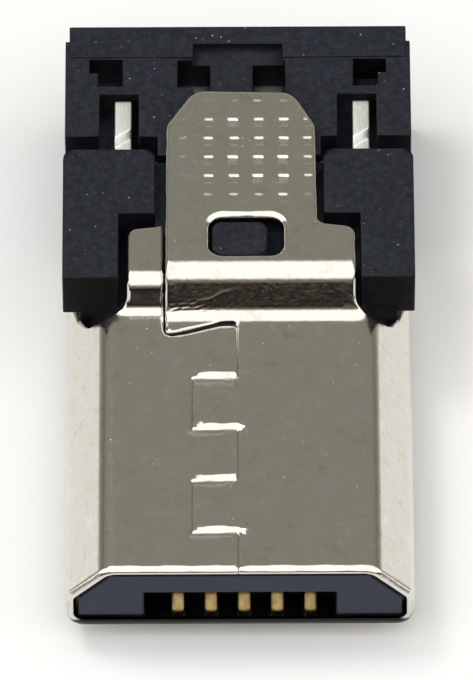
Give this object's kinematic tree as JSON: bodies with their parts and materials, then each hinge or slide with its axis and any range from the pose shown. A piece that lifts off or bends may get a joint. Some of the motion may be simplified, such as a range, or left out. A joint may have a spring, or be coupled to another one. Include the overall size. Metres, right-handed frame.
{
  "type": "micro usb plug",
  "caption": "Cable-end micro plug: folded metal shell with a toothed seam, black insulator, spring latches, gold contacts and a stepped shield tab over a rear solder spacer.",
  "frame": {"origin": "centre of the mating opening, on the plane of the shell's front rim", "axes": "+Y back along the plug towards the cable, +Z out of the narrow seamed face, +X to the right seen from the mating end"},
  "size_m": [0.007, 0.0133, 0.003],
  "materials": {
    "nickel": "bright nickel plate on folded steel sheet",
    "black_plastic": "fine-grained moulded black",
    "gold": "thin gold plate",
    "spring_steel": "blanked spring steel"
  },
  "bodies": {
    "plug": {"shell": "nickel", "insulator": "black_plastic", "rear_spacer": "black_plastic", "contact_1": "gold", "contact_2": "gold", "contact_3": "gold", "contact_4": "gold", "contact_5": "gold"},
    "latch_left_body": {"latch_left": "spring_steel"},
    "latch_right_body": {"latch_right": "spring_steel"}
  },
  "joints": [
    {"name": "latch_left_flex", "type": "hinge", "parent": "plug", "child": "latch_left_body", "pos_m": [-0.00231, 0.00916, 0.0003], "axis": [-1, 0, 0], "range_deg": [0, 3], "stiffness_Nm_per_rad": 0.28},
    {"name": "latch_right_flex", "type": "hinge", "parent": "plug", "child": "latch_right_body", "pos_m": [0.00247, 0.00916, 0.0003], "axis": [-1, 0, 0], "range_deg": [0, 3], "stiffness_Nm_per_rad": 0.28}
  ]
}
